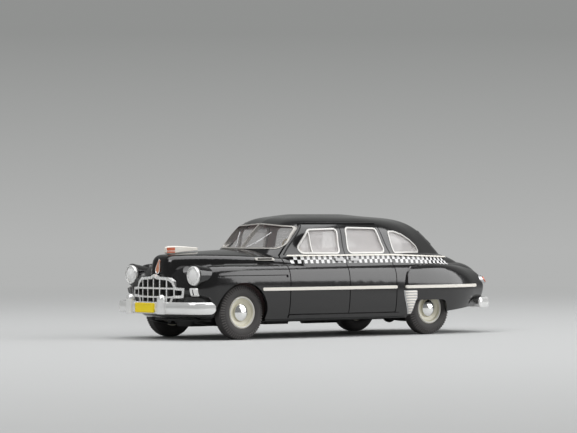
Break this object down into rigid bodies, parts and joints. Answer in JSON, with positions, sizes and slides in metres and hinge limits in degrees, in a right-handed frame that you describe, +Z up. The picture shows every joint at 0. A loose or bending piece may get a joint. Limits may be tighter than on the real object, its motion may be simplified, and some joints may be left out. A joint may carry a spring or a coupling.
{
  "type": "scale model car",
  "caption": "Collector's scale model of a black 1950s limousine taxi with a chequered waist band, moulded doors, clear windows, plated grille and bumpers, and free-rolling axles.",
  "frame": {"origin": "centre of the bounding box's bottom face, on the ground under the middle of the car", "axes": "+X to the car's front, +Y to its left, +Z up"},
  "size_m": [0.1286, 0.0452, 0.0375],
  "materials": {
    "black_paint": "gloss",
    "underside": "satin",
    "interior": "matte",
    "seat": "matte",
    "dash": "satin",
    "ivory": "satin",
    "glass": "clear",
    "plated": "polished",
    "plate": "satin",
    "lens": "clear",
    "red_lens": "gloss",
    "white_trim": "satin",
    "steel": "plain",
    "tyre": "matte",
    "wheel_paint": "satin"
  },
  "bodies": {
    "body": {"body_shell": "black_paint", "baseplate": "underside", "interior_tub": "interior", "front_seat": "seat", "rear_seat": "seat", "dashboard": "dash", "steering_wheel": "ivory", "windscreen": "glass", "rear_window": "glass", "side_windows_left": "glass", "side_windows_right": "glass", "windscreen_frame": "plated", "rear_window_frame": "plated", "window_frames_left": "plated", "window_frames_right": "plated", "grille": "plated", "grille_backing": "underside", "front_bumper": "plated", "rear_bumper": "plated", "front_plate": "plate", "headlamp_rims": "plated", "headlamp_lenses": "lens", "parking_lamps": "plated", "tail_lamps": "plated", "tail_lenses": "red_lens", "hood_ornament": "plated", "hood_emblem": "red_lens", "hood_side_vents": "plated", "side_strips_left": "plated", "side_strips_right": "plated", "belt_moulding_left": "white_trim", "belt_moulding_right": "white_trim", "gravel_shield_left": "plated", "gravel_shield_right": "plated", "door_handles": "plated", "trunk_handle": "plated"},
    "front_axle": {"front_axle_rod": "steel", "front_tyre_left": "tyre", "front_disc_left": "wheel_paint", "front_cap_left": "plated", "front_tyre_right": "tyre", "front_disc_right": "wheel_paint", "front_cap_right": "plated"},
    "rear_axle": {"rear_axle_rod": "steel", "rear_tyre_left": "tyre", "rear_disc_left": "wheel_paint", "rear_cap_left": "plated", "rear_tyre_right": "tyre", "rear_disc_right": "wheel_paint", "rear_cap_right": "plated"}
  },
  "joints": [
    {"name": "front_axle_spin", "type": "hinge", "parent": "body", "child": "front_axle", "pos_m": [0.0413, 0, 0.00815], "axis": [0, 1, 0], "continuous": true},
    {"name": "rear_axle_spin", "type": "hinge", "parent": "body", "child": "rear_axle", "pos_m": [-0.0331, 0, 0.00815], "axis": [0, 1, 0], "continuous": true}
  ]
}
